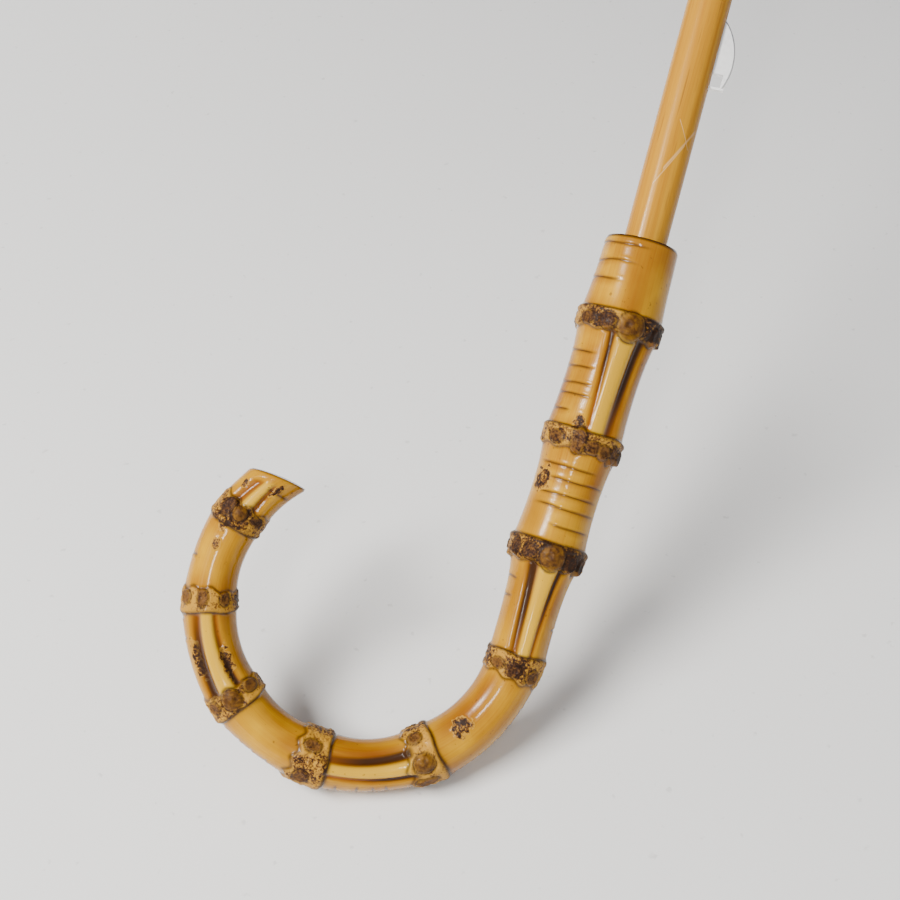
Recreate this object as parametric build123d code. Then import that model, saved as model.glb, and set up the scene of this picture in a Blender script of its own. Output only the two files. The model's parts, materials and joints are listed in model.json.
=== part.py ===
"""A stick umbrella with a crook handle of root bamboo, modelled open and lying on a floor.

The pieces are made in the umbrella's own frame: its origin is on the shaft's axis at the handle's
collar, and +Z runs along the shaft to the ferrule. The whole umbrella is then laid down, so that
it rests on the crook and on its two lowest rib tips, with +Z up and the floor at Z = 0.
Lengths are in millimetres and angles in degrees.
"""
from build123d import *
from math import atan2, cos, degrees, hypot, radians, sin
import os

# Shaft
SHAFT_D = 13.0
SHAFT_R = SHAFT_D / 2
SHAFT_ABOVE_NOTCH = 16.0
SPIGOT_D = 9.0
SPIGOT_LENGTH = 38.0
SPIGOT_HOLE_DEPTH = 40.0
TOP_SPIGOT_D = 7.0
TOP_SPIGOT_LENGTH = 22.0

# Handle: a straight grip that drifts towards the hook, then a round crook
HOOK_ANGLE = -72.0
GRIP_LENGTH = 125.7
GRIP_OFFSET_AT_COLLAR = 0.7
GRIP_OFFSET_AT_CROOK = 5.1
CROOK_R = 46.4
CROOK_TURN = 221.0
COLLAR_R = 11.0
CROOK_TIP_R = 7.3
TIP_SLANT = 32.0

# Each culm node of the handle: distance from the collar, band radius, waist radius above it
CULM_NODES = [
    (26.1, 13.2, 11.3),
    (62.6, 12.4, 10.6),
    (97.0, 12.0, 9.9),
    (131.2, 9.0, 8.2),
    (170.2, 9.1, 8.0),
    (203.9, 8.8, 7.3),
    (232.5, 8.7, 7.1),
    (262.3, 8.3, 7.4),
    (289.0, 7.9, 7.0),
]
BAND_HALF_WIDTH = 4.0

# Frame: eight ribs on a top notch, eight stretchers on a runner
RIB_COUNT = 8
FIRST_RIB_ANGLE = 22.5
RIB_STEP = 360.0 / RIB_COUNT
NOTCH_Z = 600.0
PIVOT_R = 10.5
RIB_LENGTH = 560.0
RIB_BEND_R = 1650.0
RIB_OPEN = 79.0
RIB_CLOSED = 10.0
STRETCHER_AT = 255.0
RIB_W = 2.6
RIB_H = 3.0
RIB_FLUTE_W = 1.6
RIB_FLUTE_H = 2.1
EYE_T = 1.6
EYE_R = 1.8
EYE_HOLE_D = 1.4
EYE_LENGTH = 9.0
EYE_H = 2.4
FLUTE_MARGIN = 4.0
WIRE_D = 1.2
RIVET_D = 1.5
RIVET_HOLE_D = 1.6
RIVET_HEAD_D = 3.0
RIVET_HEAD_T = 0.6
RIVET_PLAY = 0.1
STRETCHER_W = 4.4
STRETCHER_GAP = 2.8
STRETCHER_FLOOR = 0.8
FORK_LENGTH = 36.0
TIP_BALL_R = 2.7
TIP_SLEEVE_R = 2.2
TIP_SLEEVE_LENGTH = 9.0

# Top notch and runner
NOTCH_R = 12.8
NOTCH_H = 8.0
NOTCH_SKIRT = 6.0
SLOT_W = 2.2
NOTCH_SLOT_R = 8.1
NOTCH_SKIRT_R = 7.8
WIRE_GROOVE_W = 1.4
RUNNER_BORE_R = SHAFT_R + 0.05
RUNNER_TUBE_R = 7.75
RUNNER_BELOW_PIVOT = 47.0
CROWN_R = 12.8
CROWN_SLOT_R = 8.4
WINDOW_W = 3.2
WINDOW_FROM = 4.0
WINDOW_TO = 40.0
STOP_PIN_D = 2.5
STOP_PIN_LENGTH = 16.0

# Hand spring and top spring: pressed-metal catches pinned in slots of the shaft
CATCH_ANGLE = 93.0
CATCH_TRAVEL = 8.0
CATCH_T = 1.8
CATCH_SLOT_W = 2.2
CATCH_SLOT_FLOOR = -3.0
CATCH_END_ROOM = 1.2
CATCH_EYE_ROOM = 0.6
CATCH_REACH = 47.0
CATCH_PIVOT_R = 4.0
CATCH_EYE_R = 2.2
CATCH_PIN_D = 1.5
CATCH_PIN_LENGTH = 8.6
CATCH_PIN_PLAY = 0.05
CATCH_INNER_R = 4.0
CATCH_LIP_OUT = 4.35
CATCH_LIP_T = 0.6
CATCH_END_OUT = 4.0
CATCH_CREST_OUT = 5.45
CATCH_CREST_AT = 8.4
CATCH_FIN_LENGTH = 21.6
CATCH_FIN_SINK = 0.4
CATCH_TAIL_W = 2.8
CATCH_WINDOW = (4.3, 4.1)
CATCH_WINDOW_OUT = 1.15
CATCH_WINDOW_AT = 2.7
CATCH_RIM_R = 0.4
HAND_CATCH_END_Z = 50.5
CATCH_RUNNER_GAP = 0.5

# Canopy, cap and ferrule
GORE_INNER_OFFSET = 2.6
GORE_T = 0.5
GORE_FROM = 4.0
GORE_TO = 556.0
GORE_GAP = 0.15
WASHER_R = 17.0
WASHER_T = 1.0
WASHER_GAP = 0.2
CAP_R = 19.0
CAP_H = 6.0
FERRULE_R = 4.8
FERRULE_TIP_R = 4.5
FERRULE_LENGTH = 66.0
TIP_STEM_R = 3.0
TIP_STEM_LENGTH = 12.0
STRAP_W = 18.0
STRAP_T = 1.2
STRAP_FROM = 335.0
STRAP_TO = 485.0
STRAP_OFFSET = 3.6
SNAP_R = 4.6
SNAP_T = 2.4
SNAP_FROM_END = 12.0


def radial_plane(angle):
    """The plane through the shaft's axis at an angle about it: X is outwards, Y is up the shaft."""
    return Plane(origin=(0, 0, 0), x_dir=(cos(radians(angle)), sin(radians(angle)), 0),
                 z_dir=(sin(radians(angle)), -cos(radians(angle)), 0))


def slab(face, angle, thickness):
    """A flat outline drawn in (outwards, up the shaft), made solid about a radial plane."""
    return radial_plane(angle) * extrude(face, amount=thickness / 2, both=True)


def tube(outer_r, inner_r, z_low, z_high):
    ring = Cylinder(outer_r, z_high - z_low) - Cylinder(inner_r, z_high - z_low + 2)
    return Pos(0, 0, (z_low + z_high) / 2) * ring


def cross_pin(diameter, length, radius, z, angle):
    """A pin across a radial plane, its middle at a radius from the axis and at a height."""
    pin = Cylinder(diameter / 2, length)
    return radial_plane(angle) * (Pos(radius, z, 0) * pin)


# The folding geometry. A rib's angle is that of its inner end from the shaft, pointing to the handle.

def rib_point(distance, rib_angle, offset=0.0):
    """A point of the bowed rib, as (outwards, up the shaft), with an offset to its outer side."""
    chord_angle = radians(rib_angle) - distance / (2 * RIB_BEND_R)
    chord = 2 * RIB_BEND_R * sin(distance / (2 * RIB_BEND_R))
    tangent = radians(rib_angle) - distance / RIB_BEND_R
    out = PIVOT_R + chord * sin(chord_angle) + offset * cos(tangent)
    up = NOTCH_Z - chord * cos(chord_angle) + offset * sin(tangent)
    return out, up


def runner_z(rib_angle):
    """Height of the runner's pivots when the stretchers, as long as the ribs' inner parts, meet it."""
    return 2 * rib_point(STRETCHER_AT, rib_angle)[1] - NOTCH_Z


RUNNER_OPEN_Z = runner_z(RIB_OPEN)
RUNNER_TRAVEL = RUNNER_OPEN_Z - runner_z(RIB_CLOSED)
RIB_TRAVEL = RIB_OPEN - RIB_CLOSED
RUNNER_BOTTOM_Z = RUNNER_OPEN_Z - RUNNER_BELOW_PIVOT
TOP_CATCH_END_Z = RUNNER_BOTTOM_Z - CATCH_RUNNER_GAP
FERRULE_Z = NOTCH_Z + SHAFT_ABOVE_NOTCH
RIB_ANGLES = [FIRST_RIB_ANGLE + RIB_STEP * i for i in range(RIB_COUNT)]


# Handle

def handle_point(distance):
    """A point of the handle's centreline and its direction, in (towards the hook, up the shaft)."""
    if distance <= GRIP_LENGTH:
        part = distance / GRIP_LENGTH
        drift = GRIP_OFFSET_AT_CROOK - GRIP_OFFSET_AT_COLLAR
        across = GRIP_OFFSET_AT_COLLAR + drift * part * part * (3 - 2 * part)
        slope = drift * 6 * part * (1 - part) / GRIP_LENGTH
        return (across, -distance), (slope, -1.0)
    turn = (distance - GRIP_LENGTH) / CROOK_R
    across = GRIP_OFFSET_AT_CROOK + CROOK_R * (1 - cos(turn))
    return (across, -GRIP_LENGTH - CROOK_R * sin(turn)), (sin(turn), -cos(turn))


HANDLE_LENGTH = GRIP_LENGTH + CROOK_R * radians(CROOK_TURN)


def handle_sections():
    """Distance and radius of each cross-section, from the collar to a little past the tip."""
    sections = [(0.0, COLLAR_R)]
    above = 0.0
    for at, band_r, waist_r in CULM_NODES:
        flank_r = (band_r + 2 * waist_r) / 3
        sections.append(((above + at) / 2, waist_r))
        sections.append((at - BAND_HALF_WIDTH, flank_r))
        sections.append((at - BAND_HALF_WIDTH / 3, band_r))
        sections.append((at + BAND_HALF_WIDTH / 3, band_r))
        sections.append((at + BAND_HALF_WIDTH, flank_r))
        above = at
    sections.append((HANDLE_LENGTH + CROOK_TIP_R, CROOK_TIP_R))
    return sections


def section_plane(distance):
    (across, up), (slope_across, slope_up) = handle_point(distance)
    hook = (cos(radians(HOOK_ANGLE)), sin(radians(HOOK_ANGLE)))
    return Plane(origin=(across * hook[0], across * hook[1], up),
                 x_dir=(-hook[1], hook[0], 0),
                 z_dir=(slope_across * hook[0], slope_across * hook[1], slope_up))


def make_handle():
    """The bamboo crook, bored for the shaft's spigot. Its tip is sawn at a slant, so that the
    crook's inner side is the longer one."""
    sections = handle_sections()
    wires = [section_plane(at) * Circle(r) for at, r in sections]
    body = loft(wires, ruled=True)
    offcut = Box(4 * CROOK_TIP_R, 6 * CROOK_TIP_R, 4 * CROOK_TIP_R)
    body -= section_plane(HANDLE_LENGTH) * (Rot(TIP_SLANT, 0, 0) * (Pos(0, 0, 2 * CROOK_TIP_R) * offcut))
    hole = Pos(0, 0, -SPIGOT_HOLE_DEPTH / 2) * Cylinder(SPIGOT_D / 2, SPIGOT_HOLE_DEPTH)
    return body - hole


# Shaft and its small metal parts

def catch_slot(end_z, pivot_z):
    """The slot that a catch swings in: open on the catch's side, closed at the back."""
    away = 1.0 if pivot_z > end_z else -1.0
    start = end_z - away * CATCH_END_ROOM
    stop = pivot_z + away * (CATCH_EYE_R + CATCH_EYE_ROOM)
    depth = SHAFT_R + 1 - CATCH_SLOT_FLOOR
    middle = Pos(CATCH_SLOT_FLOOR + depth / 2, (start + stop) / 2)
    return slab(middle * Rectangle(depth, abs(stop - start)), CATCH_ANGLE, CATCH_SLOT_W)


def make_shaft():
    """The wooden shaft, with a spigot at each end for the handle and the ferrule."""
    shaft = Pos(0, 0, FERRULE_Z / 2) * Cylinder(SHAFT_R, FERRULE_Z)
    shaft += Pos(0, 0, -SPIGOT_LENGTH / 2) * Cylinder(SPIGOT_D / 2, SPIGOT_LENGTH)
    shaft += Pos(0, 0, FERRULE_Z + TOP_SPIGOT_LENGTH / 2) * Cylinder(TOP_SPIGOT_D / 2, TOP_SPIGOT_LENGTH)
    for end_z, pivot_z in (HAND_CATCH, TOP_CATCH):
        shaft -= catch_slot(end_z, pivot_z)
        shaft -= cross_pin(CATCH_PIN_D, SHAFT_D, CATCH_PIVOT_R, pivot_z, CATCH_ANGLE)
    shaft -= cross_pin(STOP_PIN_D, STOP_PIN_LENGTH, 0, STOP_PIN_Z, CATCH_ANGLE)
    shaft -= cross_pin(STOP_PIN_D, 2 * NOTCH_R, 0, NOTCH_PIN_Z, CATCH_ANGLE)
    return shaft


HAND_CATCH = (HAND_CATCH_END_Z, HAND_CATCH_END_Z + CATCH_REACH)
TOP_CATCH = (TOP_CATCH_END_Z, TOP_CATCH_END_Z - CATCH_REACH)
STOP_PIN_Z = RUNNER_OPEN_Z + NOTCH_H / 2 + STOP_PIN_D / 2 + 0.5
NOTCH_PIN_Z = NOTCH_Z - NOTCH_H / 2 - NOTCH_SKIRT / 2


def make_catch(end_z, pivot_z):
    """A catch: a lipped steep end that holds the runner, a curved fin that the runner rides over,
    and a tail that swings on a pin. The sheet leaves a window behind the steep end."""
    away = 1.0 if pivot_z > end_z else -1.0
    lip_z = end_z + away * CATCH_LIP_T
    foot = (CATCH_INNER_R, end_z)
    fin_end = (SHAFT_R + CATCH_END_OUT, lip_z)
    crest = (SHAFT_R + CATCH_CREST_OUT, end_z + away * CATCH_CREST_AT)
    fin_top = (SHAFT_R - CATCH_FIN_SINK, end_z + away * CATCH_FIN_LENGTH)
    tail_z = pivot_z - away * CATCH_TAIL_W / 2
    tail_outer = (CATCH_PIVOT_R + CATCH_TAIL_W / 2, tail_z)
    tail_inner = (CATCH_PIVOT_R - CATCH_TAIL_W / 2, tail_z)
    with BuildLine() as outline:
        Polyline(foot, (SHAFT_R + CATCH_LIP_OUT, end_z), (SHAFT_R + CATCH_LIP_OUT, lip_z), fin_end)
        ThreePointArc(fin_end, crest, fin_top)
        Polyline(fin_top, tail_outer, tail_inner, foot)
    face = make_face(outline.line)
    face += Pos(CATCH_PIVOT_R, pivot_z) * Circle(CATCH_EYE_R)
    face -= Pos(CATCH_PIVOT_R, pivot_z) * Circle(CATCH_PIN_D / 2 + CATCH_PIN_PLAY)
    window_at = Pos(SHAFT_R + CATCH_WINDOW_OUT, end_z + away * CATCH_WINDOW_AT)
    catch = extrude(face - window_at * Rectangle(*CATCH_WINDOW), amount=CATCH_T / 2, both=True)
    rim = [e for e in catch.edges().filter_by(GeomType.CIRCLE) if e.radius > CATCH_FIN_LENGTH / 2]
    return radial_plane(CATCH_ANGLE) * fillet(rim, CATCH_RIM_R)


# Top notch and runner

def slotted_ring(outer_r, inner_r, slot_r, pivot_z):
    """A ring with a radial slot for each rib or stretcher, and an open groove for their wire."""
    ring = tube(outer_r, inner_r, pivot_z - NOTCH_H / 2, pivot_z + NOTCH_H / 2)
    groove_low = pivot_z - WIRE_D / 2 - 0.1
    ring -= tube(PIVOT_R + WIRE_GROOVE_W / 2, PIVOT_R - WIRE_GROOVE_W / 2,
                 groove_low, pivot_z + NOTCH_H / 2 + 1)
    reach = outer_r + 2 - slot_r
    for angle in RIB_ANGLES:
        outline = Pos(slot_r + reach / 2, pivot_z) * Rectangle(reach, NOTCH_H + 2)
        ring -= slab(outline, angle, SLOT_W)
    return ring


def ring_wire(pivot_z):
    return Pos(0, 0, pivot_z) * Torus(PIVOT_R, WIRE_D / 2)


def make_top_notch():
    """The ring that the ribs hang from, with a skirt that is pinned to the shaft."""
    notch = slotted_ring(NOTCH_R, SHAFT_R, NOTCH_SLOT_R, NOTCH_Z)
    skirt_top = NOTCH_Z - NOTCH_H / 2
    notch += tube(NOTCH_SKIRT_R, SHAFT_R, skirt_top - NOTCH_SKIRT, skirt_top)
    return notch - cross_pin(STOP_PIN_D, 2 * NOTCH_R, 0, NOTCH_PIN_Z, CATCH_ANGLE)


def make_runner_tube():
    """The sliding sleeve, with a window that either catch springs into."""
    body = tube(RUNNER_TUBE_R, RUNNER_BORE_R, RUNNER_BOTTOM_Z, RUNNER_OPEN_Z + NOTCH_H / 2)
    low = RUNNER_BOTTOM_Z + WINDOW_FROM
    high = RUNNER_BOTTOM_Z + WINDOW_TO
    window = Pos(RUNNER_TUBE_R, (low + high) / 2) * Rectangle(RUNNER_TUBE_R, high - low)
    return body - slab(window, CATCH_ANGLE, WINDOW_W)


def make_runner_crown():
    return slotted_ring(CROWN_R, RUNNER_TUBE_R, CROWN_SLOT_R, RUNNER_OPEN_Z)


# Ribs and stretchers

def arc_band(start, end, inner_offset, outer_offset):
    """The outline between two offsets of the open rib's bow, from one distance to another."""
    middle = (start + end) / 2
    inner = [rib_point(at, RIB_OPEN, inner_offset) for at in (start, middle, end)]
    outer = [rib_point(at, RIB_OPEN, outer_offset) for at in (start, middle, end)]
    with BuildLine() as outline:
        ThreePointArc(*inner)
        Line(inner[2], outer[2])
        ThreePointArc(outer[2], outer[1], outer[0])
        Line(outer[0], inner[0])
    return make_face(outline.line)


def make_rib(angle):
    """A fluted steel rib: a thin eye at the notch, then a channel that is open underneath."""
    half = RIB_H / 2
    inner_end = rib_point(0, RIB_OPEN)
    rib = slab(arc_band(EYE_LENGTH, RIB_LENGTH, -half, half), angle, RIB_W)
    flute = arc_band(EYE_LENGTH + FLUTE_MARGIN, RIB_LENGTH - TIP_SLEEVE_LENGTH - FLUTE_MARGIN,
                     -half - 1, RIB_FLUTE_H - half)
    rib -= slab(flute, angle, RIB_FLUTE_W)
    eye = arc_band(0, EYE_LENGTH, -EYE_H / 2, EYE_H / 2) + Pos(*inner_end) * Circle(EYE_R)
    rib += slab(eye, angle, EYE_T)
    rib -= cross_pin(EYE_HOLE_D, EYE_T * 2, *inner_end, angle)
    return rib - cross_pin(RIVET_D, STRETCHER_W * 2, *rib_point(STRETCHER_AT, RIB_OPEN), angle)


def make_rivet(angle):
    """The pin through a rib and its stretcher's fork, with a head at each side."""
    out, up = rib_point(STRETCHER_AT, RIB_OPEN)
    grip = STRETCHER_W + 2 * RIVET_PLAY
    rivet = cross_pin(RIVET_D, grip, out, up, angle)
    head = Cylinder(RIVET_HEAD_D / 2, RIVET_HEAD_T)
    for side in (-1, 1):
        away = side * (grip + RIVET_HEAD_T) / 2
        rivet += radial_plane(angle) * (Pos(out, up, away) * head)
    return rivet


def make_rib_tip(angle, rib):
    """The metal tip: a sleeve over the rib's end that runs into a ball."""
    start = rib_point(RIB_LENGTH - TIP_SLEEVE_LENGTH, RIB_OPEN)
    end = rib_point(RIB_LENGTH + 1, RIB_OPEN)
    length = hypot(end[0] - start[0], end[1] - start[1])
    slope = degrees(atan2(end[1] - start[1], end[0] - start[0]))
    sleeve = Pos(length / 2, 0, 0) * (Rot(0, 90, 0) * Cylinder(TIP_SLEEVE_R, length))
    shape = sleeve + Pos(length, 0, 0) * Sphere(TIP_BALL_R)
    tip = radial_plane(angle) * (Pos(*start) * (Rot(0, 0, slope) * shape))
    return tip - rib


def make_stretcher(angle):
    """A channel with a fork over its rib at one end and a thin eye for the runner at the other."""
    top = rib_point(STRETCHER_AT, RIB_OPEN)
    foot = (PIVOT_R, RUNNER_OPEN_Z)
    length = hypot(top[0] - foot[0], top[1] - foot[1])
    slope = degrees(atan2(foot[1] - top[1], foot[0] - top[0]))
    body_end = length - EYE_LENGTH
    body = Pos(body_end / 2, 0) * Rectangle(body_end, RIB_H) + Circle(RIB_H / 2)
    groove_end = body_end - FLUTE_MARGIN
    groove = Pos(groove_end / 2, STRETCHER_FLOOR) * Rectangle(groove_end, RIB_H)
    fork_gap = Pos(FORK_LENGTH / 2 - RIB_H / 2, 0) * Rectangle(FORK_LENGTH + RIB_H, RIB_H + 2)
    eye = Pos(length - EYE_LENGTH / 2, 0) * Rectangle(EYE_LENGTH, EYE_H)
    eye += Pos(length, 0) * Circle(EYE_R)
    shape = extrude(body, amount=STRETCHER_W / 2, both=True)
    shape -= extrude(groove, amount=STRETCHER_GAP / 2, both=True)
    shape -= extrude(fork_gap, amount=STRETCHER_GAP / 2, both=True)
    shape += extrude(eye, amount=EYE_T / 2, both=True)
    shape -= Cylinder(RIVET_HOLE_D / 2, STRETCHER_W * 2)
    shape -= Pos(length, 0, 0) * Cylinder(EYE_HOLE_D / 2, STRETCHER_W)
    return radial_plane(angle) * (Pos(*top) * (Rot(0, 0, slope) * shape))


# Canopy

def make_gore(angle):
    """The cloth that goes with one rib, from mid-panel to mid-panel. Each panel is pulled straight
    between its two ribs, so it is the rib's bow, narrowed to mid-panel, pushed sideways."""
    half_step = RIB_STEP / 2
    narrow = cos(radians(half_step))
    steps = [GORE_FROM + (GORE_TO - GORE_FROM) * n / 6 for n in range(7)]
    inner = [rib_point(at, RIB_OPEN, GORE_INNER_OFFSET) for at in steps]
    outer = [rib_point(at, RIB_OPEN, GORE_INNER_OFFSET + GORE_T) for at in steps]
    inner = [(out * narrow, up) for out, up in inner]
    outer = [(out * narrow, up) for out, up in reversed(outer)]
    with BuildLine() as outline:
        Spline(*inner)
        Line(inner[-1], outer[0])
        Spline(*outer)
        Line(outer[-1], inner[0])
    band = make_face(outline.line)
    halves = []
    for side in (-1, 1):
        middle = angle + side * half_step
        cloth = radial_plane(middle) * extrude(band, amount=RIB_LENGTH * side / 2)
        halves.append(cloth & wedge_between(angle, middle, side))
    return halves[0] + halves[1]


def wedge_between(rib_angle, middle_angle, side):
    """A tall prism from a rib's plane to a little short of the plane half-way to the next rib."""
    near = 2.0
    far = 1.3 * RIB_LENGTH
    rib_x, rib_y = cos(radians(rib_angle)), sin(radians(rib_angle))
    mid_x, mid_y = cos(radians(middle_angle)), sin(radians(middle_angle))
    gap_x, gap_y = side * mid_y * GORE_GAP, -side * mid_x * GORE_GAP
    corners = [(rib_x * near, rib_y * near), (rib_x * far, rib_y * far),
               (mid_x * far + gap_x, mid_y * far + gap_y), (mid_x * near + gap_x, mid_y * near + gap_y)]
    base = make_face(Polyline(*corners, close=True))
    return Pos(0, 0, NOTCH_Z - RIB_LENGTH) * extrude(base, amount=2 * RIB_LENGTH, dir=(0, 0, 1))


def make_strap(angle):
    """The tie strap, lying on the cloth along a rib's seam."""
    band = arc_band(STRAP_FROM, STRAP_TO, STRAP_OFFSET, STRAP_OFFSET + STRAP_T)
    return slab(band, angle, STRAP_W)


def make_snap(angle):
    """The press stud at the strap's free end."""
    at = STRAP_TO - SNAP_FROM_END
    foot = rib_point(at, RIB_OPEN, STRAP_OFFSET + STRAP_T)
    head = rib_point(at, RIB_OPEN, STRAP_OFFSET + STRAP_T + SNAP_T)
    slope = degrees(atan2(head[1] - foot[1], head[0] - foot[0]))
    stud = Pos(SNAP_T / 2, 0, 0) * (Rot(0, 90, 0) * Cylinder(SNAP_R, SNAP_T))
    return radial_plane(angle) * (Pos(*foot) * (Rot(0, 0, slope) * stud))


# Crown of the umbrella

def turned(points):
    """A solid of revolution about the shaft, from its outline in (radius, height)."""
    outline = Polyline(*points, close=True)
    return revolve(Plane.XZ * make_face(outline), Axis.Z)


WASHER_Z = NOTCH_Z + NOTCH_H / 2 + WASHER_GAP
CAP_Z = WASHER_Z + WASHER_T


def make_cap():
    """The pressed cap over the canopy's middle, its rim turned down over the washer."""
    return turned([(SHAFT_R, CAP_Z), (CAP_R - 2, CAP_Z), (CAP_R, CAP_Z - 1.6),
                   (CAP_R + 0.6, CAP_Z - 1.4), (CAP_R - 1, CAP_Z + 1.2),
                   (SHAFT_R + 3, CAP_Z + CAP_H - 1), (SHAFT_R, CAP_Z + CAP_H)])


def make_ferrule():
    """The turned metal spike on the shaft's top end, hollow over the shaft's spigot."""
    spike = turned([(0, FERRULE_Z), (SHAFT_R, FERRULE_Z), (SHAFT_R, FERRULE_Z + 5),
                    (FERRULE_R + 0.6, FERRULE_Z + 12), (FERRULE_R, FERRULE_Z + 16),
                    (FERRULE_R, FERRULE_Z + FERRULE_LENGTH), (0, FERRULE_Z + FERRULE_LENGTH)])
    spike -= Pos(0, 0, FERRULE_Z + TOP_SPIGOT_LENGTH / 2) * Cylinder(TOP_SPIGOT_D / 2, TOP_SPIGOT_LENGTH)
    socket = Cylinder(TIP_STEM_R, TIP_STEM_LENGTH)
    return spike - Pos(0, 0, FERRULE_Z + FERRULE_LENGTH - TIP_STEM_LENGTH / 2) * socket


def make_ferrule_tip():
    """The tip that wears on the ground, with a stem that sits in the ferrule."""
    end = FERRULE_Z + FERRULE_LENGTH
    return turned([(0, end - TIP_STEM_LENGTH), (TIP_STEM_R, end - TIP_STEM_LENGTH),
                   (TIP_STEM_R, end), (FERRULE_TIP_R, end), (FERRULE_TIP_R, end + 2),
                   (FERRULE_TIP_R - 1.5, end + 4.5), (0, end + 5.5)])


# The resting pose

def lean_axes(lean):
    """Where the umbrella's own X, Y and Z point when the shaft leans at this angle to the floor."""
    c, s = cos(radians(lean)), sin(radians(lean))
    return (-s, 0.0, c), (0.0, -1.0, 0.0), (c, 0.0, s)


def height(point, lean):
    axes = lean_axes(lean)
    return sum(point[n] * axes[n][2] for n in range(3))


def lowest_of_handle(lean):
    """The lowest point of the handle's cross-sections."""
    found = []
    for at, r in handle_sections():
        plane = section_plane(at)
        centre = tuple(plane.origin)
        axis = plane.z_dir
        along = height(tuple(axis), lean)
        found.append(height(centre, lean) - r * (1 - along * along) ** 0.5)
    return min(found)


def lowest_rib_tip(lean):
    out, up = rib_point(RIB_LENGTH + 1, RIB_OPEN)
    angle = radians(180 - FIRST_RIB_ANGLE)
    return height((out * cos(angle), out * sin(angle), up), lean) - TIP_BALL_R


def resting_lean():
    """The lean at which the crook and the two lowest rib tips touch the floor together."""
    low, high = 20.0, 60.0
    for _ in range(60):
        middle = (low + high) / 2
        if lowest_rib_tip(middle) > lowest_of_handle(middle):
            high = middle
        else:
            low = middle
    return (low + high) / 2


def build_all():
    """Every piece in the umbrella's own frame, by node name."""
    pieces = {
        "shaft": make_shaft(),
        "handle": make_handle(),
        "hand_spring": make_catch(*HAND_CATCH),
        "hand_spring_pin": cross_pin(CATCH_PIN_D, CATCH_PIN_LENGTH, CATCH_PIVOT_R, HAND_CATCH[1],
                                     CATCH_ANGLE),
        "top_spring": make_catch(*TOP_CATCH),
        "top_spring_pin": cross_pin(CATCH_PIN_D, CATCH_PIN_LENGTH, CATCH_PIVOT_R, TOP_CATCH[1],
                                    CATCH_ANGLE),
        "stop_pin": cross_pin(STOP_PIN_D, STOP_PIN_LENGTH, 0, STOP_PIN_Z, CATCH_ANGLE),
        "top_notch": make_top_notch(),
        "notch_wire": ring_wire(NOTCH_Z),
        "notch_pin": cross_pin(STOP_PIN_D, 2 * NOTCH_SLOT_R, 0, NOTCH_PIN_Z, CATCH_ANGLE),
        "crown_washer": tube(WASHER_R, SHAFT_R, WASHER_Z, CAP_Z),
        "open_cap": make_cap(),
        "ferrule": make_ferrule(),
        "ferrule_tip": make_ferrule_tip(),
        "runner_tube": make_runner_tube(),
        "runner_crown": make_runner_crown(),
        "runner_wire": ring_wire(RUNNER_OPEN_Z),
        "tie_strap": make_strap(RIB_ANGLES[0]),
        "strap_snap": make_snap(RIB_ANGLES[0]),
    }
    for number, angle in enumerate(RIB_ANGLES, 1):
        rib = make_rib(angle)
        pieces[f"rib_{number}"] = rib
        pieces[f"rib_tip_{number}"] = make_rib_tip(angle, rib)
        pieces[f"rib_rivet_{number}"] = make_rivet(angle)
        pieces[f"stretcher_{number}"] = make_stretcher(angle)
        pieces[f"canopy_gore_{number}"] = make_gore(angle)
    return pieces


def resting_place(pieces):
    """Where the umbrella lies: leaning, with the middle of its box over the origin at the floor."""
    x_axis, _, z_axis = lean_axes(resting_lean())
    lean = Plane(origin=(0, 0, 0), x_dir=x_axis, z_dir=z_axis).location
    boxes = [(lean * piece).bounding_box() for piece in pieces.values()]
    middle_x = (min(b.min.X for b in boxes) + max(b.max.X for b in boxes)) / 2
    middle_y = (min(b.min.Y for b in boxes) + max(b.max.Y for b in boxes)) / 2
    floor = min(b.min.Z for b in boxes)
    return Pos(-middle_x, -middle_y, -floor) * lean


UMBRELLA = build_all()
RESTING = resting_place(UMBRELLA)

os.makedirs("parts", exist_ok=True)
for name, piece in UMBRELLA.items():
    export_step(RESTING * piece, f"parts/{name}.step")
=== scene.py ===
"""Looks of the stick umbrella: the root-bamboo crook, the varnished shaft, the metal and the cloth.

Lengths are in metres. "Umbrella space" is the umbrella's own frame: its origin is on the shaft's
axis at the handle's collar, and Z runs up the shaft. at() turns a point of it into a point of the
shared frame. Distances along the handle run from the collar (0) to the crook's tip.
"""
import json
from math import cos, pi, radians, sin, tau

import bpy
import numpy as np
from mathutils import Matrix, Vector


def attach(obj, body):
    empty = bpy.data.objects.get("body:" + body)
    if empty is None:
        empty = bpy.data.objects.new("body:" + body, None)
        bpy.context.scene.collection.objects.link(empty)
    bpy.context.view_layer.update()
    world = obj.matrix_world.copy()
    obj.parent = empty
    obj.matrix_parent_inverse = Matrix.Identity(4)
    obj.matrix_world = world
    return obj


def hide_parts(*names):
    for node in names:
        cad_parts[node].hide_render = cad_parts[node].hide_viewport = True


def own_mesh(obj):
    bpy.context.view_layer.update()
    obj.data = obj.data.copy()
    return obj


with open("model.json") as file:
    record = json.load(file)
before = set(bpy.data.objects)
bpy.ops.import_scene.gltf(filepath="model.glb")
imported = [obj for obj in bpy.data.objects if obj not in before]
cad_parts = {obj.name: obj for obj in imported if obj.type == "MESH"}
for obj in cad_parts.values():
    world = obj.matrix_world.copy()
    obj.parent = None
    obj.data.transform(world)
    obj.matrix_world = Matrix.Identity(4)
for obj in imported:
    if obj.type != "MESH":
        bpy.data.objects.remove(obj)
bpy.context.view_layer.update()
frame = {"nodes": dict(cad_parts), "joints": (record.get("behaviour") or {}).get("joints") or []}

MM = 0.001
JOINTS = {joint["name"]: joint for joint in frame["joints"]}
NODES = frame["nodes"]

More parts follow.
